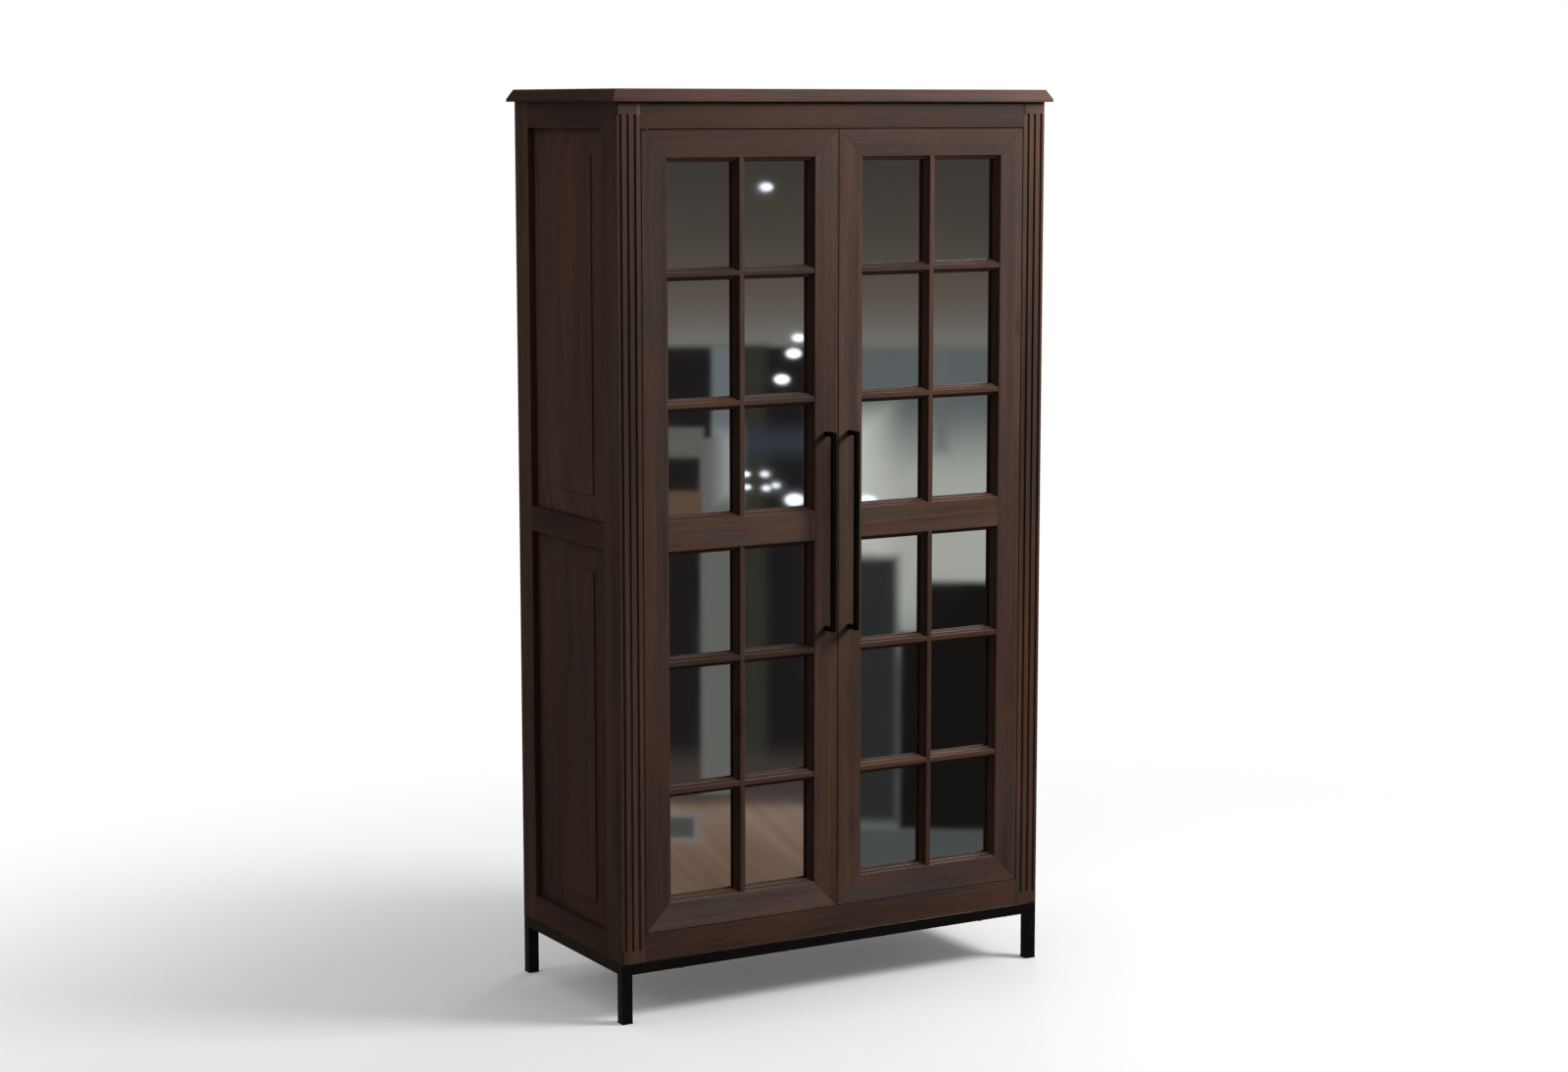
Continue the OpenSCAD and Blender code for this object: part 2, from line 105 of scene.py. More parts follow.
def ramp(tree, value, stops):
    """A colour ramp; stops are (position, colour or grey)."""
    made = tree.nodes.new("ShaderNodeValToRGB")
    band = made.color_ramp
    while len(band.elements) < len(stops):
        band.elements.new(0.5)
    for element, (position, colour) in zip(band.elements, stops):
        element.position = position
        element.color = (*colour, 1.0) if isinstance(colour, tuple) else (colour,) * 3 + (1.0,)
    link(tree, value, made.inputs[0])
    return made.outputs[0]


def soft_step(tree, value, low, high):
    """0 below low, 1 above high, smooth between; low may be the larger one."""
    made = node(tree, "ShaderNodeMapRange", interpolation_type="SMOOTHSTEP")
    link(tree, value, made.inputs["Value"])
    flipped = low > high
    made.inputs["From Min"].default_value = min(low, high)
    made.inputs["From Max"].default_value = max(low, high)
    made.inputs["To Min"].default_value = 1.0 if flipped else 0.0
    made.inputs["To Max"].default_value = 0.0 if flipped else 1.0
    return made.outputs[0]


# ---------------------------------------------------------------- wood
# Which row axes run across the grain and which one along it
GRAIN = {"X": ("Y", "Z", "X"), "Y": ("X", "Z", "Y"), "Z": ("X", "Y", "Z")}

# How fine each pattern of the wood is: steps a metre across and along the grain
WANDER = (5.0, 1.5)
BANDS = (62.0, 0.9)
PATCHES = (8.5, 1.5)
STREAKS = (46.0, 3.6)
CLOUD = (3.2, 1.1)
FIBRE = (420.0, 5.0)
PORES = (1100.0, 38.0)
WANDER_REACH = 0.035        # metres, times the noise

KNOT_GRID = (4.5, 1.5)      # knots a metre that could be, across and along the grain
KNOT_SHARE = 0.30           # share of them that are there
KNOT_SIZE = 0.07            # radius, in steps of that grid
KNOT_DARK = 0.65            # how far a knot goes over to the dark colour
RING_RATE = 260.0           # radians a step of the grid
RING_LEVEL, RING_SWING = 0.40, 0.22

# Stain colours: dark band, middle, light band, grey streak, rusty patch
WALNUT = ((0.058, 0.0300, 0.0208), (0.086, 0.0460, 0.0315), (0.112, 0.0630, 0.0440),
          (0.070, 0.0510, 0.0430), (0.122, 0.0560, 0.0345))
INSIDE = ((0.085, 0.048, 0.030), (0.120, 0.072, 0.046), (0.155, 0.096, 0.062),
          (0.110, 0.080, 0.058), (0.150, 0.080, 0.046))
BOARD = ((0.105, 0.062, 0.037), (0.135, 0.082, 0.050), (0.160, 0.100, 0.062),
         (0.120, 0.082, 0.056), (0.160, 0.088, 0.050))


def grain_coordinates(tree, along, offset):
    """Position with the grain along its third axis, shifted so that no two boards match."""
    position = node(tree, "ShaderNodeTexCoord").outputs["Object"]
    split = node(tree, "ShaderNodeSeparateXYZ")
    link(tree, position, split.inputs[0])
    joined = node(tree, "ShaderNodeCombineXYZ")
    for axis, socket in zip(GRAIN[along], joined.inputs):
        link(tree, split.outputs[axis], socket)
    shift = node(tree, "ShaderNodeVectorMath", operation="ADD")
    link(tree, joined.outputs[0], shift.inputs[0])
    shift.inputs[1].default_value = offset
    return shift.outputs[0]


def stretched(tree, vector, across, along):
    """Coordinates scaled to so many steps a metre across and along the grain."""
    scaled = node(tree, "ShaderNodeVectorMath", operation="MULTIPLY")
    link(tree, vector, scaled.inputs[0])
    scaled.inputs[1].default_value = (across, across, along)
    return scaled.outputs[0]


def noise(tree, vector, detail=2.0, roughness=0.5, distortion=0.0):
    made = node(tree, "ShaderNodeTexNoise", Scale=1.0, Detail=detail, Roughness=roughness,
                Distortion=distortion)
    link(tree, vector, made.inputs["Vector"])
    return made.outputs["Fac"]


def wandering(tree, place):
    """The grain coordinates, pushed slowly from side to side."""
    wander = node(tree, "ShaderNodeTexNoise", Scale=1.0, Detail=2.0, Roughness=0.5)
    link(tree, stretched(tree, place, *WANDER), wander.inputs["Vector"])
    centred = node(tree, "ShaderNodeVectorMath", operation="SUBTRACT")
    link(tree, wander.outputs["Color"], centred.inputs[0])
    centred.inputs[1].default_value = (0.5, 0.5, 0.5)
    pushed = node(tree, "ShaderNodeVectorMath", operation="MULTIPLY")
    link(tree, centred.outputs[0], pushed.inputs[0])
    pushed.inputs[1].default_value = (WANDER_REACH, WANDER_REACH, 0.0)
    bent = node(tree, "ShaderNodeVectorMath", operation="ADD")
    link(tree, place, bent.inputs[0])
    link(tree, pushed.outputs[0], bent.inputs[1])
    return bent.outputs[0]


def knots(tree, place):
    """Strength and ring pattern of a few small knots, laid out across and along the grain."""
    split = node(tree, "ShaderNodeSeparateXYZ")
    link(tree, place, split.inputs[0])
    across = math_node(tree, "ADD", split.outputs["X"], split.outputs["Y"])
    flat = node(tree, "ShaderNodeCombineXYZ")
    link(tree, math_node(tree, "MULTIPLY", across, KNOT_GRID[0]), flat.inputs[0])
    link(tree, math_node(tree, "MULTIPLY", split.outputs["Z"], KNOT_GRID[1]), flat.inputs[1])
    cells = node(tree, "ShaderNodeTexVoronoi", voronoi_dimensions="2D", Scale=1.0)
    link(tree, flat.outputs[0], cells.inputs["Vector"])
    chance = node(tree, "ShaderNodeSeparateXYZ")
    link(tree, cells.outputs["Color"], chance.inputs[0])
    there = math_node(tree, "LESS_THAN", chance.outputs["X"], KNOT_SHARE)
    distance = cells.outputs["Distance"]
    strength = math_node(tree, "MULTIPLY", soft_step(tree, distance, KNOT_SIZE, 0.0), there)
    rings = math_node(tree, "SINE", math_node(tree, "MULTIPLY", distance, RING_RATE))
    return strength, math_node(tree, "MULTIPLY_ADD", rings, RING_SWING, RING_LEVEL)


def wood(name, along, seed, tone_and_shade, colours=WALNUT, roughness=0.50, specular=0.2):
    """Stained, satin-lacquered timber with its grain along one axis; a colour factor for this one board
    tints it, partly with the board's own tone and partly with painted light and shade.
    """
    dice = random.Random(seed)
    offset = (dice.uniform(-3, 3), dice.uniform(-3, 3), dice.uniform(-9, 9))
    dark, mid, light, grey, rust = colours
    material, tree, shader = new_material(name)
    place = grain_coordinates(tree, along, offset)
    bent = wandering(tree, place)

    # Growth bands, rusty patches, grey streaks, slow shading, fine fibre and pores
    bands = noise(tree, stretched(tree, bent, *BANDS), 3.0, 0.55, 0.4)
    patches = noise(tree, stretched(tree, bent, *PATCHES), 3.0, 0.55, 1.0)
    streaks = noise(tree, stretched(tree, bent, *STREAKS), 2.0, 0.55)
    cloud = noise(tree, stretched(tree, place, *CLOUD), 2.0)
    fibre = noise(tree, stretched(tree, bent, *FIBRE), 3.0, 0.6)
    pores = noise(tree, stretched(tree, bent, *PORES), 1.0, 0.5)
    knot, rings = knots(tree, bent)

    bands = mix_colours(tree, knot, bands, rings)
    base = ramp(tree, bands, [(0.30, dark), (0.50, mid), (0.72, light)])
    base = mix_colours(tree, ramp(tree, patches, [(0.42, 0.0), (0.66, 0.85)]), base, rust)
    base = mix_colours(tree, ramp(tree, streaks, [(0.53, 0.0), (0.68, 0.80)]), base, grey)
    base = mix_colours(tree, math_node(tree, "MULTIPLY", knot, KNOT_DARK), base, dark)
    shading = ((cloud, [(0.30, 0.74), (0.70, 1.22)]),
               (fibre, [(0.25, 0.84), (0.75, 1.12)]),
               (pores, [(0.60, 1.00), (0.72, 0.65)]))
    for pattern, stops in shading:
        base = mix_colours(tree, 1.0, base, ramp(tree, pattern, stops), "MULTIPLY")
    # Per-board factor: the board's own tone and, for some boards, painted light and shade
    base = mix_colours(tree, 1.0, base, tone_and_shade, "MULTIPLY")
    link(tree, base, shader.inputs["Base Color"])

    gloss = ramp(tree, fibre, [(0.2, roughness - 0.06), (0.8, roughness + 0.08)])
    link(tree, gloss, shader.inputs["Roughness"])
    height = math_node(tree, "SUBTRACT", math_node(tree, "MULTIPLY", fibre, 0.5), pores)
    bump = node(tree, "ShaderNodeBump", Strength=0.25, Distance=0.0002)
    link(tree, height, bump.inputs["Height"])
    link(tree, bump.outputs[0], shader.inputs["Normal"])
    shader.inputs["Specular IOR Level"].default_value = specular
    return material


# ---------------------------------------------------------------- other materials
ORANGE_PEEL = 0.06 * MM     # height of the unevenness of powder coat


def silvering():
    """Clear mirror glass with the faint unevenness of float glass."""
    material, tree, shader = new_material("mirror_silver")
    place = node(tree, "ShaderNodeTexCoord").outputs["Object"]
    haze = noise(tree, stretched(tree, place, 9.0, 9.0), 2.0)
    link(tree, ramp(tree, haze, [(0.3, (0.80, 0.82, 0.82)), (0.7, (0.83, 0.85, 0.845))]),
         shader.inputs["Base Color"])
    link(tree, ramp(tree, haze, [(0.3, 0.012), (0.7, 0.022)]), shader.inputs["Roughness"])
    shader.inputs["Metallic"].default_value = 1.0
    return material


def painted_steel(name, colour, roughness, specular):
    """Powder coat or paint with a slight orange peel."""
    material, tree, shader = new_material(name)
    place = node(tree, "ShaderNodeTexCoord").outputs["Object"]
    peel = noise(tree, stretched(tree, place, 900.0, 900.0), 2.0)
    dust = noise(tree, stretched(tree, place, 24.0, 24.0), 4.0, 0.6)
    bright = tuple(c * 1.6 for c in colour)
    link(tree, ramp(tree, dust, [(0.35, colour), (0.75, bright)]), shader.inputs["Base Color"])
    link(tree, ramp(tree, dust, [(0.3, roughness - 0.04), (0.7, roughness + 0.06)]),
         shader.inputs["Roughness"])
    shader.inputs["Specular IOR Level"].default_value = specular
    bump = node(tree, "ShaderNodeBump", Strength=0.25, Distance=ORANGE_PEEL)
    link(tree, peel, bump.inputs["Height"])
    link(tree, bump.outputs[0], shader.inputs["Normal"])
    return material


def bare_metal(name, colour, roughness):
    """Zinc or chrome plate with fine lines along X."""
    material, tree, shader = new_material(name)
    place = grain_coordinates(tree, "X", (0.0, 0.0, 0.0))
    lines = noise(tree, stretched(tree, place, 1500.0, 30.0), 2.0)
    dull = tuple(c * 0.82 for c in colour)
    link(tree, ramp(tree, lines, [(0.3, dull), (0.7, colour)]), shader.inputs["Base Color"])
    link(tree, ramp(tree, lines, [(0.3, roughness), (0.7, roughness + 0.1)]), shader.inputs["Roughness"])
    shader.inputs["Metallic"].default_value = 1.0
    return material


def nylon():
    """Moulded black nylon with a fine grain."""
    material, tree, shader = new_material("black_nylon")
    place = node(tree, "ShaderNodeTexCoord").outputs["Object"]
    grain = noise(tree, stretched(tree, place, 1600.0, 1600.0), 2.0)
    link(tree, ramp(tree, grain, [(0.3, 0.012), (0.7, 0.022)]), shader.inputs["Base Color"])
    link(tree, ramp(tree, grain, [(0.3, 0.45), (0.7, 0.6)]), shader.inputs["Roughness"])
    bump = node(tree, "ShaderNodeBump", Strength=0.4, Distance=0.0001)
    link(tree, grain, bump.inputs["Height"])
    link(tree, bump.outputs[0], shader.inputs["Normal"])
    return material


# ---------------------------------------------------------------- mesh helpers
CREASE = math.radians(50)   # surfaces that bend less are shaded smooth
SHARP = math.radians(20)    # edges that bend more are eased
SHORTEST = 4 * MM           # but not the ones shorter than this
FLAT = math.radians(0.5)    # faces within this are one flat face
SAME_PLACE = 0.001 * MM     # corners closer than this are joined


def add_object(name, bm, materials):
    """Turns a bmesh into an object, smooth where it bends a little, with flat faces flat."""
    bmesh.ops.recalc_face_normals(bm, faces=bm.faces)
    mesh = bpy.data.meshes.new(name)
    bm.to_mesh(mesh)
    bm.free()
    mesh.shade_smooth()
    mesh.set_sharp_from_angle(angle=CREASE)
    for material in materials:
        mesh.materials.append(material)
    made = bpy.data.objects.new(name, mesh)
    scene.collection.objects.link(made)
    weighted = made.modifiers.new("weighted_normals", "WEIGHTED_NORMAL")
    weighted.keep_sharp = True
    weighted.weight = 100
    return made


def is_sharp(edge):
    return len(edge.link_faces) == 2 and edge.calc_face_angle(0.0) > SHARP


def ease_edges(bm, radius, segments, keep):
    """Rounds every long sharp edge, apart from those that keep(edge) is true of."""
    edges = [e for e in bm.edges if is_sharp(e) and e.calc_length() > SHORTEST
             and not (keep and keep(e))]
    bmesh.ops.bevel(bm, geom=edges, offset=radius, offset_type="OFFSET", segments=segments,
                    profile=0.5, affect="EDGES", clamp_overlap=False)


def node_bmesh(name):
    """The CAD node's faces, with its flat ones joined up."""
    bm = bmesh.new()
    bm.from_mesh(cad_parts[name].data)
    bmesh.ops.remove_doubles(bm, verts=bm.verts, dist=SAME_PLACE)
    bmesh.ops.dissolve_limit(bm, angle_limit=FLAT, verts=bm.verts, edges=bm.edges)
    return bm


def finish_piece(piece, body, slot, *replaced):
    """Says which body the piece rides on and hides the CAD nodes it stands for; slot is not used."""
    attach(piece, body)
    if replaced:
        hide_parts(*replaced)
    return piece


def eased(name, body, slot, material, radius=0.6 * MM, segments=2, keep=None, prepare=None):
    """Stands for a CAD node: the same shape with its arrises eased."""
    bm = node_bmesh(name)
    if prepare:
        prepare(bm)
    ease_edges(bm, radius, segments, keep)
    return finish_piece(add_object(name + "_eased", bm, [material]), body, slot, name)


# ---------------------------------------------------------------- fluted front posts
POST_CORNER = 1.2 * MM      # chamfer where a post meets the side stile
FLUTES = 3
FLUTE_PITCH = 16.7 * MM
FLUTE_IN = 26.5 * MM        # middle flute, from the outer side
FLUTE_R = 3.3 * MM
FLUTE_END = 25.5 * MM       # plain part above and below the flutes
FLUTE_STEPS = 8             # steps in a quarter of a flute's round
POST_EASE = 0.7 * MM        # inner arris of the post
ROUND_MIDDLE = 0.29         # how far in the middle of a rounded arris lies, in radii


def cut_corner(side):
    """Cuts the outer front corner of the carcass at 45 degrees."""
    low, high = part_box(side + "_front_post")
    x = high.x if side == "right" else low.x
    sign = 1 if side == "right" else -1
    normal = Vector((sign, -1, 0)).normalized()
    point = Vector((x, low.y, 0)) - normal * POST_CORNER * 0.5

    def cut(bm):
        bmesh.ops.bisect_plane(bm, geom=bm.verts[:] + bm.edges[:] + bm.faces[:], plane_co=point,
                               plane_no=normal, clear_outer=True)
        bmesh.ops.holes_fill(bm, edges=[e for e in bm.edges if e.is_boundary])
    return cut


def on_mitre(side):
    """True of an edge in the 45 degree joint between a post and its side stile."""
    low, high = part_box(side + "_front_post")
    x = high.x if side == "right" else -low.x

    def check(edge):
        return all(abs((x - abs(v.co.x)) - (v.co.y - low.y)) < 0.01 * MM for v in edge.verts)
    return check


def flute_steps(first, last):
    """Offsets from a flute's middle, close together where its round is steep."""
    return [FLUTE_R * math.sin(math.pi / 2 * i / FLUTE_STEPS) for i in range(first, last + 1)]


def flute_rows(low, high):
    """Heights for the rows of a fluted face: close together around both flute ends."""
    rows = [low]
    rows += [low + FLUTE_END + FLUTE_R + step for step in flute_steps(-FLUTE_STEPS, 0)]
    rows += [high - FLUTE_END - FLUTE_R + step for step in flute_steps(0, FLUTE_STEPS)]
    return rows + [high]


def fluted_post(side, material):
    """Front post: a grid for the fluted face, closed behind by the mitred section."""
    low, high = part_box(side + "_front_post")
    sign = 1 if side == "right" else -1
    outer = max(abs(low.x), abs(high.x))
    inner = min(abs(low.x), abs(high.x))
    chamfer = POST_CORNER * math.sqrt(0.5)
    centres = [outer - FLUTE_IN + (i - (FLUTES - 1) / 2) * FLUTE_PITCH for i in range(FLUTES)]
    columns = [inner + POST_EASE]
    for centre in centres:
        columns += [centre + step for step in flute_steps(-FLUTE_STEPS, FLUTE_STEPS)]
    columns.append(outer - chamfer)
    rows = flute_rows(low.z, high.z)
    top = high.z - FLUTE_END - FLUTE_R
    bottom = low.z + FLUTE_END + FLUTE_R

    def depth(x, z):
        reach = min(math.hypot(x - c, z - min(max(z, bottom), top)) for c in centres)
        return math.sqrt(max(0.0, FLUTE_R ** 2 - reach ** 2))

    bm = bmesh.new()
    grid = [[bm.verts.new((sign * x, low.y + depth(x, z), z)) for x in columns] for z in rows]
    for lower, upper in zip(grid, grid[1:]):
        for i in range(len(columns) - 1):
            bm.faces.new((lower[i], lower[i + 1], upper[i + 1], upper[i]))
    # The section behind the face, from the eased inner arris round to the chamfered corner
    behind = [(outer - chamfer / 2, low.y + chamfer / 2),
              (outer - (high.y - low.y), high.y),
              (inner, high.y),
              (inner, low.y + POST_EASE),
              (inner + POST_EASE * ROUND_MIDDLE, low.y + POST_EASE * ROUND_MIDDLE)]
    rings = [[bm.verts.new((sign * x, y, z)) for x, y in behind] for z in (rows[0], rows[-1])]
    for (a, b), (c, d) in zip(zip(rings[0], rings[0][1:]), zip(rings[1], rings[1][1:])):
        bm.faces.new((a, b, d, c))
    bm.faces.new([row[-1] for row in grid] + [rings[1][0], rings[0][0]])
    bm.faces.new([row[0] for row in grid] + [rings[1][-1], rings[0][-1]])
    bm.faces.new(grid[0] + rings[0])
    bm.faces.new(grid[-1] + rings[1])
    name = side + "_front_post"
    return finish_piece(add_object(name + "_fluted", bm, [material]), "carcass", "walnut_frame", name)


# ---------------------------------------------------------------- door lattice
BAR_FACE = 8 * MM           # width of a bar's flat face
BAR_SET_BACK = 1 * MM       # bar face behind the door face
MIRROR_DEEP = 20 * MM       # back of the lattice
MIDDLE_PITCH = 278 * MM     # between the two level bars of an opening
UPRIGHT, LEVEL = 0, 1       # material slots of the bars


def arc(centre, radius, start, end, steps):
    """Points along an arc, angles in degrees."""
    angles = [math.radians(start + (end - start) * i / steps) for i in range(steps + 1)]
    return [(centre[0] + radius * math.cos(a), centre[1] + radius * math.sin(a)) for a in angles]


def moulding_outline():
    """Lattice moulding as (distance from the flat face, depth): ovolo, fillet, cove, wall."""
    round_over = [(0.55 * x, y) for x, y in arc((0.0, 6.4), 5.4, -90, 0, 6)]
    fillet = [(3.2, 6.7), (6.0, 6.9)]
    cove = [(x, 1.75 * (y - 6.9) + 6.9) for x, y in arc((9.5, 6.9), 3.5, 180, 90, 5)]
    outline = round_over + fillet + cove[1:] + [(9.5, MIRROR_DEEP / MM)]
    return [(x * MM, y * MM) for x, y in outline]


def lattice(side, upright, level):
    """Both openings' bars and edge mouldings, mitred, with the uprights' and levels' own grain."""
    name = side + "_door_grille"
    low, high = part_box(name)
    rail_low, rail_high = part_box(side + "_door_mid_rail")
    outline = [(distance, rail_low.y + deep) for distance, deep in moulding_outline()]
    wall, back_y = outline[-1]
    front_y = rail_low.y + BAR_SET_BACK
    middle_x = (low.x + high.x) / 2
    bm = bmesh.new()
    for z0, z1 in ((low.z, rail_low.z), (rail_high.z, high.z)):
        middle_z = (z0 + z1) / 2
        xs = pane_edges(low.x, high.x, [middle_x])
        zs = pane_edges(z0, z1, [middle_z - MIDDLE_PITCH / 2, middle_z + MIDDLE_PITCH / 2])
        for left, right in zip(xs[::2], xs[1::2]):
            for bottom, top in zip(zs[::2], zs[1::2]):
                moulded_pane(bm, outline, left, right, bottom, top)
        back_xs, back_zs = hole_edges(xs, wall), hole_edges(zs, wall)
        flat_grid(bm, xs, zs, front_y, first_hole=0)
        flat_grid(bm, back_xs, back_zs, back_y, first_hole=1)
        for x in (xs[0], xs[-1]):
            bm.faces.new([bm.verts.new((x, front_y, z)) for z in zs]
                         + [bm.verts.new((x, back_y, z)) for z in reversed(back_zs)])
        for z in (zs[0], zs[-1]):
            face = bm.faces.new([bm.verts.new((x, front_y, z)) for x in xs]
                                + [bm.verts.new((x, back_y, z)) for x in reversed(back_xs)])
            face.material_index = LEVEL
    bmesh.ops.remove_doubles(bm, verts=bm.verts, dist=SAME_PLACE)
    piece = add_object(name + "_moulded", bm, [upright, level])
    return finish_piece(piece, side + "_door", "walnut_frame", name)


def pane_edges(start, end, bars):
    """Where the flat faces end across an opening: both its sides, and both sides of each bar."""
    faces = [edge for bar in bars for edge in (bar - BAR_FACE / 2, bar + BAR_FACE / 2)]
    return [start] + faces + [end]


def hole_edges(edges, wall):
    """The lines at the back, where each pane is narrower by its moulding."""
    holes = [edge + (-wall if i % 2 else wall) for i, edge in enumerate(edges)]
    return [edges[0]] + holes + [edges[-1]]


def flat_grid(bm, xs, zs, y, first_hole):
    """The flat faces between the lines, apart from every second one, where the panes are."""
    for i, (x0, x1) in enumerate(zip(xs, xs[1:])):
        for j, (z0, z1) in enumerate(zip(zs, zs[1:])):
            beside_pane = i % 2 == first_hole
            if beside_pane and j % 2 == first_hole:
                continue
            corners = ((x0, z0), (x1, z0), (x1, z1), (x0, z1))
            face = bm.faces.new([bm.verts.new((x, y, z)) for x, z in corners])
            face.material_index = LEVEL if beside_pane else UPRIGHT


def moulded_pane(bm, outline, x0, x1, z0, z1):
    """The moulding round one pane, as rings of four mitred faces."""
    rings = []
    for inset, y in outline:
        corners = ((x0 + inset, z0 + inset), (x1 - inset, z0 + inset),
                   (x1 - inset, z1 - inset), (x0 + inset, z1 - inset))
        rings.append([bm.verts.new((x, y, z)) for x, z in corners])
    for ring, following in zip(rings, rings[1:]):
        for k in range(4):
            face = bm.faces.new((ring[k], ring[(k + 1) % 4], following[(k + 1) % 4], following[k]))
            face.material_index = LEVEL if k % 2 == 0 else UPRIGHT


# ---------------------------------------------------------------- mirrors
GLASS_STEP = 2.6 * MM       # how far the silvering seems to lie behind the glass face


def mirrors(side, material):
    """The silvered faces, set back by the glass in front of them."""
    name = side + "_door_mirrors"
    bm = node_bmesh(name)
    low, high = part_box(name)
    for vertex in bm.verts:
        if vertex.co.y < (low.y + high.y) / 2:
            vertex.co.y = low.y + GLASS_STEP
    return finish_piece(add_object(name + "_silvered", bm, [material]), side + "_door", "mirror", name)


# ---------------------------------------------------------------- steel base
TUBE_R = 1.6 * MM           # rolled corners of the square tube


def steel_base(material):
    """Legs and rails of square tube; only the long corners are rounded, not the cut ends."""
    low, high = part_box("base_side_rails")
    tube = high.z - low.z

    def cut_end(edge):
        return edge.calc_length() < 1.2 * tube

    for name in ("base_legs", "base_long_rails", "base_side_rails"):
        eased(name, "carcass", "black_steel", material, TUBE_R, 3, keep=cut_end)


# ---------------------------------------------------------------- putting it together
PANEL_EASE = 0.25 * MM      # the edges of the raised fields stay crisp


def paint(name, material):
    """Gives a CAD node that stays its material."""
    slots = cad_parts[name].material_slots
    for slot in slots:
        slot.material = material


# Per-board factors for red, green and blue: partly each board's own tone, partly painted light and shade
# (cornice front lighter, front top rail and side rails darker under the cornice, upper side panel
# lighter than the lower)
NEUTRAL_BOARD_FACTOR = (1.0, 1.0, 1.0)
BOARD_TONES_AND_PAINTED_SHADE = {
    "cornice_front": (1.26, 1.32, 1.33), "cornice_left": (1.05, 1.00, 0.96),
    "front_top_rail": (0.80, 0.76, 0.72), "left_front_post": (1.00, 1.06, 1.08),
    "right_front_post": (1.08, 1.06, 1.00), "left_upper_panel": (1.22, 1.15, 1.08),
    "left_lower_panel": (0.97, 0.91, 0.86), "left_side_rails": (0.78, 0.75, 0.72),
    "left_door_outer_stile": (0.92, 1.02, 1.08), "left_door_mid_rail": (1.35, 1.50, 1.60),
    "right_door_mid_rail": (1.28, 1.24, 1.26), "left_door_bottom_rail": (1.50, 1.85, 2.20),
    "right_door_bottom_rail": (1.12, 1.34, 1.60), "right_door_inner_stile": (1.14, 1.22, 1.28),
    "right_door_outer_stile": (0.95, 0.98, 1.05),
}


def board(name, along, seeds, **more):
    """The timber of one named piece."""
    # the board's factor tints it, for some boards with painted light and shade
    return wood(name + "_timber", along, next(seeds), BOARD_TONES_AND_PAINTED_SHADE.get(name, NEUTRAL_BOARD_FACTOR), **more)


def build_carcass():
    seeds = iter(range(1, 60))
    for side in SIDES:
        fluted_post(side, board(side + "_front_post", "Z", seeds))
        name = side + "_side_front_stile"
        eased(name, "carcass", "walnut_frame", board(name, "Z", seeds), keep=on_mitre(side),
              prepare=cut_corner(side))
        for name, along in (("_side_rear_stile", "Z"), ("_side_rails", "Y")):
            eased(side + name, "carcass", "walnut_frame", board(side + name, along, seeds))
        for name in (side + "_upper_panel", side + "_lower_panel"):
            eased(name, "carcass", "walnut_panel", board(name, "Z", seeds), PANEL_EASE)
    for name in ("front_top_rail", "front_bottom_rail"):
        eased(name, "carcass", "walnut_frame", board(name, "X", seeds))
    for name, along in (("cornice_front", "X"), ("cornice_back", "X"), ("cornice_left", "Y"),
                        ("cornice_right", "Y")):
        eased(name, "carcass", "walnut_frame", board(name, along, seeds))
    for name, along in (("back_rails", "X"), ("bottom_board", "X"), ("top_panel", "X"),
                        ("hat_shelf", "X"), ("shelf_cleats", "Y"), ("door_stop", "X")):
        eased(name, "carcass", "inside_wood",
              board(name, along, seeds, colours=INSIDE, roughness=0.70, specular=0.05), 0.5 * MM)
    paint("back_panels", board("back_panels", "Z", seeds, colours=BOARD, roughness=0.6))
    return seeds


def build_doors(seeds):
    silver = silvering()
    handle_paint = painted_steel("handle_black", (0.0022, 0.0022, 0.0026), 0.30, 0.10)
    for side in SIDES:
        body = side + "_door"
        for name, along in (("_outer_stile", "Z"), ("_inner_stile", "Z"), ("_top_rail", "X"),
                            ("_mid_rail", "X"), ("_bottom_rail", "X")):
            eased(body + name, body, "walnut_frame", board(body + name, along, seeds), 0.5 * MM)
        lattice(side, board(body + "_upright_bars", "Z", seeds), board(body + "_level_bars", "X", seeds))
        mirrors(side, silver)
        name = body + "_backings"
        paint(name, board(name, "Z", seeds, colours=BOARD, roughness=0.6))
        eased(side + "_handle", body, "handle_black", handle_paint, 0.8 * MM, 3)


def build_fittings():
    zinc = bare_metal("zinc_steel", (0.55, 0.56, 0.57), 0.30)
    chrome = bare_metal("chromed_steel", (0.75, 0.76, 0.77), 0.07)
    plastic = nylon()
    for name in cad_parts:
        if "screws" in name or "strike" in name or name == "pivot_pins":
            paint(name, zinc)
        elif name in ("hanging_rail", "rail_sockets"):
            paint(name, chrome)
        elif "bushes" in name or name in ("leg_glides", "magnetic_catches"):
            paint(name, plastic)


# ---------------------------------------------------------------- studio
LENS = 70.76
CAMERA_PLACE = (-3.4606, -5.9814, 1.9612)
CAMERA_YAW = 30.05
CAMERA_PITCH = 7.92


def add_camera():
    data = bpy.data.cameras.new("camera")
    data.sensor_width = 36.0
    data.lens = LENS
    camera = bpy.data.objects.new("camera", data)
    camera.location = CAMERA_PLACE
    camera.rotation_euler = (math.radians(90 - CAMERA_PITCH), 0.0, math.radians(-CAMERA_YAW))
    scene.collection.objects.link(camera)
    scene.camera = camera


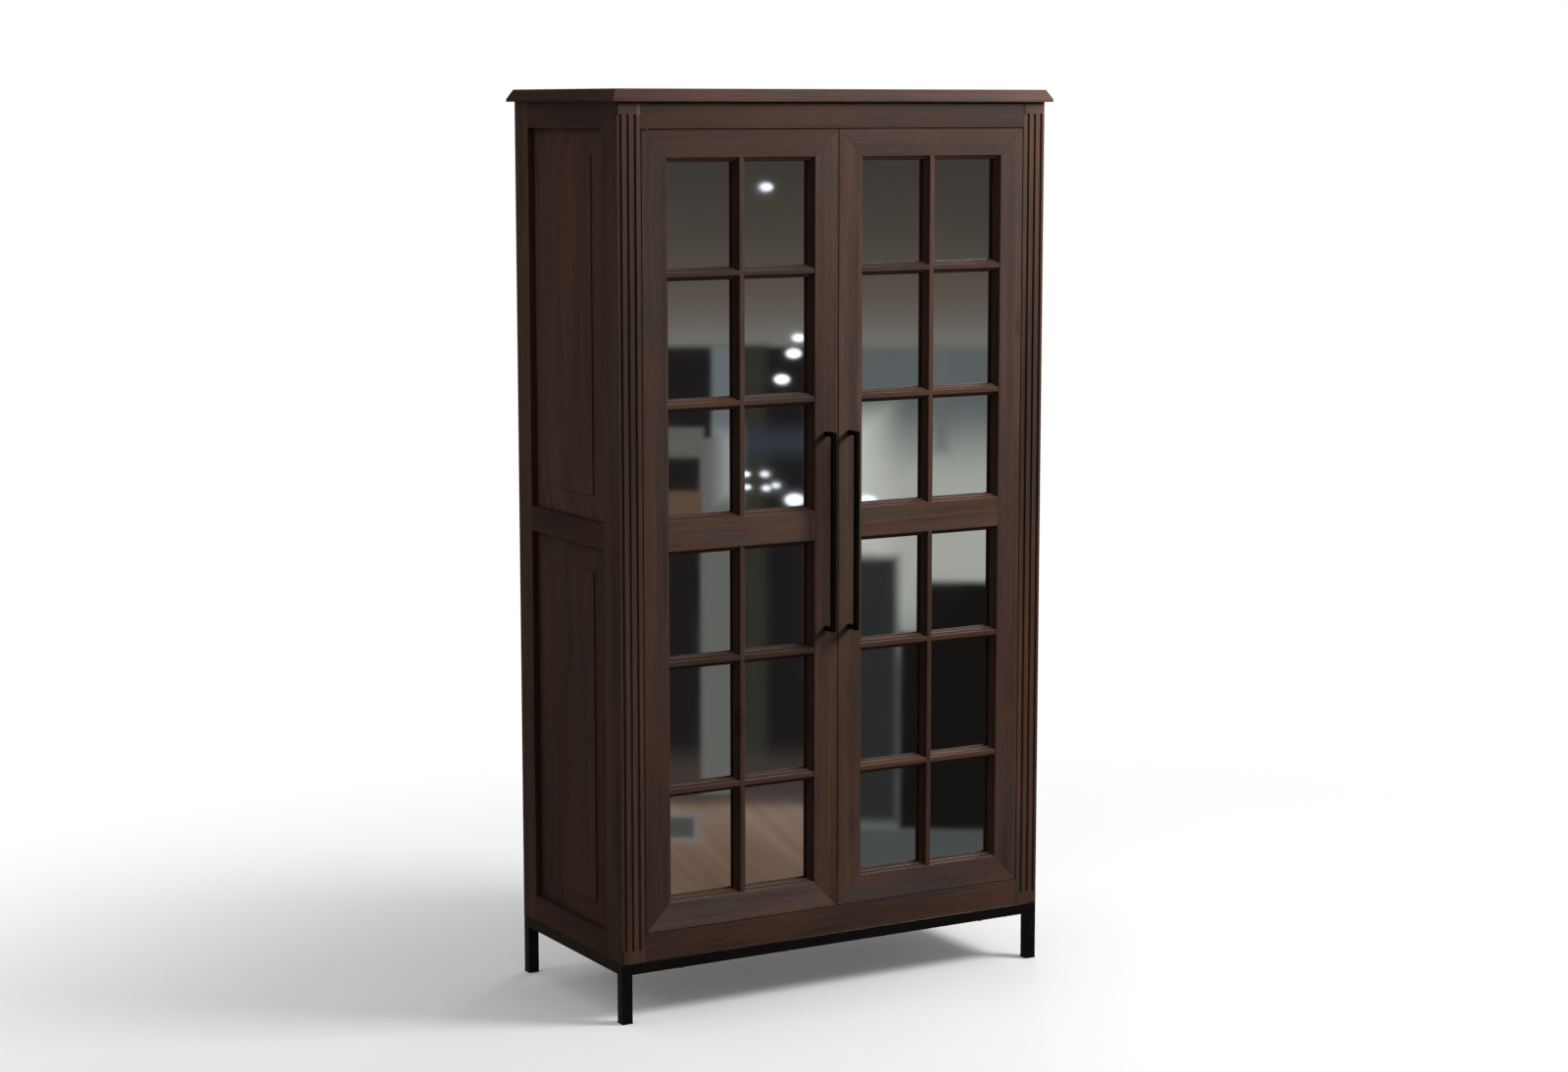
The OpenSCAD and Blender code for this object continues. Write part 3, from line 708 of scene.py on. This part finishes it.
def area_light(name, place, aim, size, power):
    """A round white area light; power in watts."""
    data = bpy.data.lights.new(name, "AREA")
    data.shape = "DISK"
    data.size = size
    data.energy = power
    lamp = bpy.data.objects.new(name, data)
    lamp.location = place
    lamp.rotation_euler = (Vector(aim) - Vector(place)).to_track_quat("-Z", "Y").to_euler()
    lamp.visible_camera = False
    scene.collection.objects.link(lamp)


FLOOR_RADIUS = 7.0
FADE_CENTRE = (0.0, -0.9, 0.0)
FLOOR_FADE = (1.4, 3.3)     # where the floor starts and ends going over into the white
PAINTED_SHADOW_SPAN = (0.15, 0.95)   # painted shadow under the base: from its darkest, under the middle of the base, to its edge next to it
FLOOR_GLOW = (0.10, 0.14)    # emission at those two places, less under the base as a painted shadow


def distance_from(tree, place, centre, shape=(1.0, 1.0, 1.0)):
    """Distance from a centre, with each axis scaled by shape."""
    moved = node(tree, "ShaderNodeVectorMath", operation="SUBTRACT")
    link(tree, place, moved.inputs[0])
    moved.inputs[1].default_value = centre
    shaped = node(tree, "ShaderNodeVectorMath", operation="MULTIPLY")
    link(tree, moved.outputs[0], shaped.inputs[0])
    shaped.inputs[1].default_value = shape
    length = node(tree, "ShaderNodeVectorMath", operation="LENGTH")
    link(tree, shaped.outputs[0], length.inputs[0])
    return length.outputs["Value"]


def add_floor():
    """A pale disc that glows a little from itself, less under the base as a painted shadow, and fades
    out behind.
    """
    bm = bmesh.new()
    bmesh.ops.create_circle(bm, cap_ends=True, radius=FLOOR_RADIUS, segments=96)
    material, tree, shader = new_material("pale_floor")
    place = node(tree, "ShaderNodeTexCoord").outputs["Object"]
    grain = noise(tree, stretched(tree, place, 160.0, 160.0), 2.0)
    link(tree, ramp(tree, grain, [(0.3, 0.90), (0.7, 0.92)]), shader.inputs["Base Color"])
    shader.inputs["Roughness"].default_value = 0.8
    shader.inputs["Specular IOR Level"].default_value = 0.0
    shader.inputs["Emission Color"].default_value = (1.0, 1.0, 1.0, 1.0)
    # Painted shadow: the floor glows less under the base
    outside_painted_shadow = soft_step(tree, distance_from(tree, place, (0.0, 0.0, 0.0), (1.0, 1.6, 1.0)), *PAINTED_SHADOW_SPAN)
    glow = math_node(tree, "MULTIPLY_ADD", outside_painted_shadow, FLOOR_GLOW[1] - FLOOR_GLOW[0], FLOOR_GLOW[0])
    link(tree, glow, shader.inputs["Emission Strength"])
    near = distance_from(tree, place, FADE_CENTRE)
    link(tree, soft_step(tree, near, FLOOR_FADE[1], FLOOR_FADE[0]), shader.inputs["Alpha"])
    floor = add_object("studio_floor", bm, [material])
    floor.visible_glossy = False
    floor.visible_diffuse = False


# The dim room that glossy surfaces see, in degrees: turn (from -Y towards +X), rise (from level)
ROOM_START = 27.5
ROOM_REPEAT = 12.0
CEILING_EDGE = -4.4
FLOOR_EDGE = -12.4
EDGE_SOFT = 0.05
RISE_SPAN = 40.0            # that a ramp by rise covers, level in its middle
BOARD_TURN = math.radians(-15)
BOARDS = (20.0, 0.8, 0.0)   # steps of the boards' noise across and along them
LAMP_COLOUR = (1.5, 1.6, 1.75)
# (rise, colour) of the ceiling and of the timber floor
CEILING = ((-4.3, (0.190, 0.180, 0.160)), (-3.9, (0.145, 0.130, 0.112)), (-3.4, (0.112, 0.095, 0.078)),
           (-2.4, (0.078, 0.065, 0.054)), (-1.2, (0.057, 0.048, 0.040)), (6.0, (0.040, 0.034, 0.028)))
TIMBER = ((-15.0, (0.130, 0.088, 0.062)), (-13.8, (0.190, 0.122, 0.087)), (-12.9, (0.265, 0.184, 0.143)),
          (-12.8, (0.100, 0.078, 0.064)))
# Soft-edged oblongs: (turn from, turn to), (rise from, rise to), softness, colour
ROOM_SHAPES = (
    ((-1.0, 3.7), (FLOOR_EDGE, CEILING_EDGE), 0.08, (0.014, 0.012, 0.012)),      # dark glazing
    ((1.78, 2.22), (FLOOR_EDGE, CEILING_EDGE), 0.16, (0.034, 0.032, 0.025)),     # curtain behind it
    ((-1.0, 3.7), (-12.8, -12.0), 0.35, (0.055, 0.044, 0.038)),                  # daylight at its foot
    ((1.7, 3.2), (-6.4, -5.95), 0.30, (0.036, 0.046, 0.060)),                    # lights on the glass
    ((1.20, 1.74), (-6.1, CEILING_EDGE), 0.05, (0.150, 0.168, 0.180)),           # pale post
    ((0.98, 1.74), (-12.7, -6.1), 0.05, (0.140, 0.138, 0.130)),                  # its wider foot
    ((1.36, 1.66), (-7.2, -6.0), 0.26, (0.330, 0.355, 0.345)),                   # lamplight on it
    ((-1.0, 1.05), (-6.46, -5.90), 0.05, (0.120, 0.122, 0.108)),                 # pale cross rail
    ((-1.0, 1.0), (-7.65, -7.08), 0.06, (0.117, 0.076, 0.049)),                  # timber counter
    ((-1.0, 0.95), (-13.6, -13.05), 0.03, (0.190, 0.175, 0.160)),                # edge of a door mat
    ((-1.0, 0.84), (-13.5, -13.13), 0.03, (0.072, 0.072, 0.068)),                # door mat
    ((3.7, 9.0), (-13.4, CEILING_EDGE), 0.10, (0.118, 0.132, 0.134)),            # plaster wall
    ((3.7, 9.0), (-9.8, -6.2), 0.90, (0.420, 0.430, 0.395)),                     # lamplight on it
    ((3.6, 4.35), (-8.2, -5.7), 0.55, (0.600, 0.615, 0.560)),                    # lamp close to it
    ((5.40, 5.56), (-6.3, CEILING_EDGE), 0.20, (0.135, 0.150, 0.154)),           # corner of the wall
    ((3.7, 4.70), (-13.2, -8.3), 0.14, (0.026, 0.027, 0.029)),                   # tall dark cabinet
    ((4.74, 7.6), (-13.35, -9.7), 0.07, (0.009, 0.008, 0.007)),                  # low dark cabinet
    ((5.1, 7.6), (-13.35, -8.75), 0.10, (0.009, 0.008, 0.007)),                  # its raised end
    ((3.7, 9.0), (-20.0, -13.35), 0.07, (0.075, 0.082, 0.083)),                  # grey rug
    ((9.0, 13.0), (-12.7, CEILING_EDGE), 0.15, (0.075, 0.068, 0.060)),           # brown curtain
)
# Ceiling lamps and their small reflections on the glass: turn, rise, half width
LAMPS = ((2.22, -1.46, 0.125), (2.82, -4.24, 0.125), (2.73, -4.53, 0.150), (2.51, -5.01, 0.150),
         (2.75, -7.25, 0.190), (4.10, -7.28, 0.200), (9.60, -3.30, 0.140), (1.84, -6.77, 0.080),
         (2.19, -6.77, 0.085), (1.86, -7.01, 0.075), (2.22, -7.03, 0.085), (2.40, -6.98, 0.080))


def oblong_mask(tree, place, turn, rise, softness):
    """1 inside an oblong of the (turn, rise) plane."""
    middle = ((turn[0] + turn[1]) / 2, (rise[0] + rise[1]) / 2, 0.0)
    half = ((turn[1] - turn[0]) / 2, (rise[1] - rise[0]) / 2, 0.0)
    moved = node(tree, "ShaderNodeVectorMath", operation="SUBTRACT")
    link(tree, place, moved.inputs[0])
    moved.inputs[1].default_value = middle
    folded = node(tree, "ShaderNodeVectorMath", operation="ABSOLUTE")
    link(tree, moved.outputs[0], folded.inputs[0])
    beyond = node(tree, "ShaderNodeVectorMath", operation="SUBTRACT")
    link(tree, folded.outputs[0], beyond.inputs[0])
    beyond.inputs[1].default_value = half
    split = node(tree, "ShaderNodeSeparateXYZ")
    link(tree, beyond.outputs[0], split.inputs[0])
    outside = math_node(tree, "MAXIMUM", split.outputs["X"], split.outputs["Y"])
    return soft_step(tree, outside, softness, -softness)


def lamp_mask(tree, place, turn, rise, size):
    """1 inside a flat oval."""
    distance = distance_from(tree, place, (turn, rise, 0.0), (1.0 / size, 1.6 / size, 0.0))
    return soft_step(tree, distance, 1.15, 0.75)


def rise_ramp(tree, rise, stops):
    """Colours by the rise, from (rise, colour) stops."""
    share = math_node(tree, "MULTIPLY_ADD", rise, 1 / RISE_SPAN, 0.5)
    return ramp(tree, share, [(0.5 + level / RISE_SPAN, colour) for level, colour in stops])


def room_colour(tree, direction):
    """Ceiling, floor boards, wall shapes and lamps by direction."""
    split = node(tree, "ShaderNodeSeparateXYZ")
    link(tree, direction, split.inputs[0])
    forward = math_node(tree, "MULTIPLY", split.outputs["Y"], -1.0)
    turn = math_node(tree, "MULTIPLY", math_node(tree, "ARCTAN2", split.outputs["X"], forward),
                     math.degrees(1.0))
    turn = math_node(tree, "PINGPONG", math_node(tree, "SUBTRACT", turn, ROOM_START), ROOM_REPEAT)
    rise = math_node(tree, "MULTIPLY", math_node(tree, "ARCSINE", split.outputs["Z"]),
                     math.degrees(1.0))
    place = node(tree, "ShaderNodeCombineXYZ")
    link(tree, turn, place.inputs[0])
    link(tree, rise, place.inputs[1])
    place = place.outputs[0]

    # Floor boards in perspective: the direction, scaled to reach one metre down
    depth = math_node(tree, "MAXIMUM", math_node(tree, "MULTIPLY", split.outputs["Z"], -1.0), 0.05)
    floor = node(tree, "ShaderNodeVectorMath", operation="DIVIDE")
    link(tree, direction, floor.inputs[0])
    link(tree, depth, floor.inputs[1])
    slanted = node(tree, "ShaderNodeVectorRotate", rotation_type="Z_AXIS", Angle=BOARD_TURN)
    link(tree, floor.outputs[0], slanted.inputs["Vector"])
    strips = node(tree, "ShaderNodeVectorMath", operation="MULTIPLY")
    link(tree, slanted.outputs[0], strips.inputs[0])
    strips.inputs[1].default_value = BOARDS
    shading = ramp(tree, noise(tree, strips.outputs[0], 2.0, 0.6), [(0.35, 0.80), (0.65, 1.16)])
    timber = mix_colours(tree, 1.0, rise_ramp(tree, rise, TIMBER), shading, "MULTIPLY")

    below = soft_step(tree, rise, FLOOR_EDGE + EDGE_SOFT, FLOOR_EDGE - EDGE_SOFT)
    colour = mix_colours(tree, below, rise_ramp(tree, rise, CEILING), timber)
    for turns, rises, softness, paint_colour in ROOM_SHAPES:
        mask = oblong_mask(tree, place, turns, rises, softness)
        colour = mix_colours(tree, mask, colour, paint_colour)
    for lamp in LAMPS:
        colour = mix_colours(tree, lamp_mask(tree, place, *lamp), colour, LAMP_COLOUR)
    return colour


SKY = 0.48                  # studio light from above, for matt surfaces
DIM_SIDE = (-0.7, -0.7, 0.0)
SKY_DIM = 0.42              # share of it that comes from that side
BELOW = 0.04                # light from below the horizon


def studio_colour(tree, direction):
    """Soft light, dimmer from the front left and from below."""
    split = node(tree, "ShaderNodeSeparateXYZ")
    link(tree, direction, split.inputs[0])
    facing = node(tree, "ShaderNodeVectorMath", operation="DOT_PRODUCT")
    link(tree, direction, facing.inputs[0])
    facing.inputs[1].default_value = DIM_SIDE
    dim = soft_step(tree, facing.outputs["Value"], 0.0, 0.8)
    above = mix_colours(tree, dim, (SKY, SKY, SKY), (SKY * SKY_DIM,) * 3)
    return mix_colours(tree, soft_step(tree, split.outputs["Z"], -0.05, 0.20), (BELOW,) * 3, above)


def add_world():
    """White to the camera, a soft studio to matt surfaces, a dim room to glossy ones."""
    world = bpy.data.worlds.new("studio")
    world.use_nodes = True
    scene.world = world
    tree = world.node_tree
    background = tree.nodes["Background"]
    direction = node(tree, "ShaderNodeTexCoord").outputs["Generated"]
    path = node(tree, "ShaderNodeLightPath")
    lit = mix_colours(tree, path.outputs["Is Glossy Ray"], studio_colour(tree, direction),
                      room_colour(tree, direction))
    seen = mix_colours(tree, path.outputs["Is Camera Ray"], lit, (1.0, 1.0, 1.0))
    link(tree, seen, background.inputs["Color"])
    background.inputs["Strength"].default_value = 1.0


def build_studio():
    add_camera()
    add_world()
    add_floor()
    area_light("key", (2.7, -2.1, 3.1), (0.0, -0.2, 1.2), 1.6, 132.0)
    area_light("rim", (2.6, 2.8, 2.6), (0.0, 0.0, 0.5), 0.7, 14.0)
    area_light("fill", (-3.4, 0.5, 2.3), (0.0, 0.0, 0.9), 1.2, 10.0)


build_studio()
build_doors(build_carcass())
steel_base(painted_steel("black_steel", (0.004, 0.004, 0.004), 0.24, 0.28))
build_fittings()
